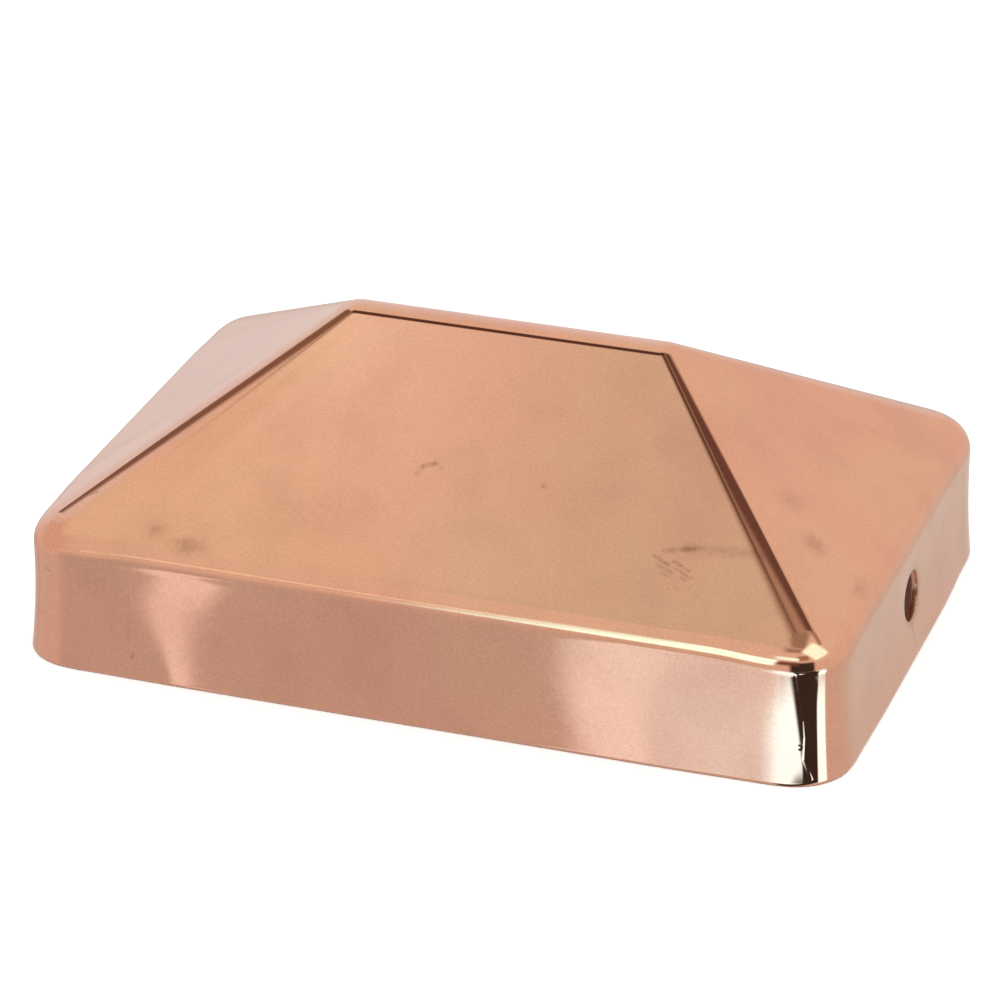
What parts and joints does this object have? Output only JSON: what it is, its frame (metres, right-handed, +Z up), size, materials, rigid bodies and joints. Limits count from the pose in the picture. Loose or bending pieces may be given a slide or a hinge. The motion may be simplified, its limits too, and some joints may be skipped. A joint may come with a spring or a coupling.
{
  "type": "fence post cap",
  "caption": "Pressed copper cap with a hipped roof over a short flared skirt, for a rectangular timber fence post, with its round-head side screw.",
  "frame": {"origin": "centre of the rim, on the plane that the rim stands on", "axes": "+Z up through the roof, +X along the ridge towards the open screw hole, +Y across the post's narrow side"},
  "size_m": [0.0814, 0.0546, 0.0284],
  "materials": {
    "copper_sheet": "polished",
    "screw_metal": "satin"
  },
  "bodies": {
    "cap": {"cap_shell": "copper_sheet"},
    "screw": {"fixing_screw": "screw_metal"}
  },
  "joints": [
    {"name": "screw_draw", "type": "slide", "parent": "cap", "child": "screw", "axis": [-1, 0, 0], "range_m": [0, 0.018]}
  ]
}
